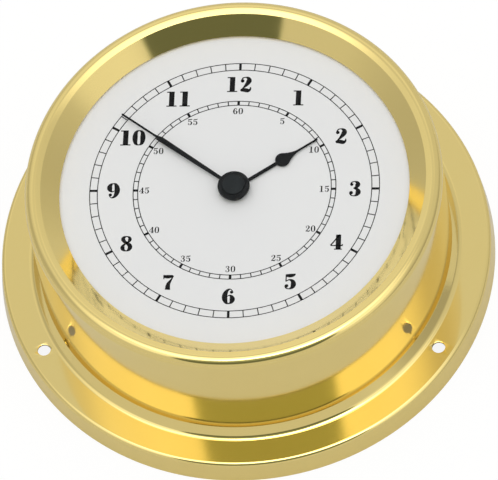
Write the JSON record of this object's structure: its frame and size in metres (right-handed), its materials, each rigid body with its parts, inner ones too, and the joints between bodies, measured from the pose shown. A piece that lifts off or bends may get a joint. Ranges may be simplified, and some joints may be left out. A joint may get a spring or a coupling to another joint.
{
  "type": "ship clock",
  "caption": "Round brass ship's clock with a wall flange, flat glass, printed dial, two black hands and a battery quartz movement.",
  "frame": {"origin": "centre of the rim that stands against the wall, on the wall plane", "axes": "+Z out of the wall through the dial centre, +Y towards 12 o'clock, +X towards 3 o'clock"},
  "size_m": [0.12, 0.12, 0.0398],
  "materials": {
    "brass": "polished and lacquered",
    "glass": "flat clear mineral glass",
    "dial": "matt off-white lacquer with black print",
    "hands": "matt black lacquer",
    "hub_cap": "black, slightly glossy",
    "acetal": "natural white moulded acetal",
    "knob": "red moulded plastic",
    "magnet": "sintered ferrite",
    "housing": "black moulded ABS",
    "foam": "grey adhesive foam",
    "lamination": "nickel iron sheet",
    "bobbin": "natural moulded nylon",
    "copper_wire": "enamelled copper wire",
    "board": "green laminate",
    "tinned_steel": "tinned can",
    "resin": "black potting resin",
    "spring_steel": "nickelled spring steel",
    "cell": "plain printed sleeve, nickelled ends",
    "cover": "black moulded ABS, fine texture",
    "screw_steel": "zinc-plated"
  },
  "bodies": {
    "case": {"case_shell": "brass", "cover_lugs": "brass", "glass": "glass", "dial_plate": "dial", "movement_front": "housing", "movement_base": "housing", "movement_pad": "foam", "stator": "lamination", "coil_core": "lamination", "coil_bobbin": "bobbin", "coil_winding": "copper_wire", "circuit_board": "board", "quartz_can": "tinned_steel", "chip_cover": "resin", "plus_contact": "spring_steel", "minus_contact": "spring_steel", "back_cover": "cover", "cover_screws": "screw_steel"},
    "minute_hand_set": {"minute_arbor": "acetal", "minute_hand": "hands", "hub_cap": "hub_cap"},
    "hour_hand_set": {"hour_wheel": "acetal", "hour_hand": "hands"},
    "minute_wheel_set": {"minute_wheel": "acetal"},
    "drive_wheel_set": {"drive_wheel": "acetal"},
    "rotor": {"rotor_pinion": "acetal", "rotor_magnet": "magnet"},
    "setting_knob_set": {"setting_knob": "knob"},
    "battery_cell": {"battery": "cell"}
  },
  "joints": [
    {"name": "minute_hand_turn", "type": "hinge", "parent": "case", "child": "minute_hand_set", "pos_m": [0, 0, 0.0265], "axis": [0, 0, 1], "continuous": true},
    {"name": "hour_hand_turn", "type": "hinge", "parent": "case", "child": "hour_hand_set", "pos_m": [0, 0, 0.0265], "axis": [0, 0, 1], "continuous": true},
    {"name": "minute_wheel_turn", "type": "hinge", "parent": "case", "child": "minute_wheel_set", "pos_m": [-0.00831, 0.0048, 0.0265], "axis": [0, 0, 1], "continuous": true},
    {"name": "drive_wheel_turn", "type": "hinge", "parent": "case", "child": "drive_wheel_set", "pos_m": [0.00246, 0.0092, 0.0265], "axis": [0, 0, 1], "continuous": true},
    {"name": "rotor_turn", "type": "hinge", "parent": "case", "child": "rotor", "pos_m": [0.01143, 0.00841, 0.0265], "axis": [0, 0, 1], "continuous": true},
    {"name": "setting_knob_turn", "type": "hinge", "parent": "case", "child": "setting_knob_set", "pos_m": [-0.01526, 0.01307, 0.0265], "axis": [0, 0, 1], "continuous": true},
    {"name": "battery_slide", "type": "slide", "parent": "case", "child": "battery_cell", "axis": [0, 0, -1], "range_m": [0, 0.0155]}
  ],
  "couplings": [
    {"joint": "hour_hand_turn", "follows": "minute_hand_turn", "ratio": 0.083333},
    {"joint": "minute_wheel_turn", "follows": "minute_hand_turn", "ratio": -0.33333},
    {"joint": "drive_wheel_turn", "follows": "minute_hand_turn", "ratio": -7.5},
    {"joint": "rotor_turn", "follows": "minute_hand_turn", "ratio": 60},
    {"joint": "setting_knob_turn", "follows": "minute_hand_turn", "ratio": 0.66667}
  ]
}
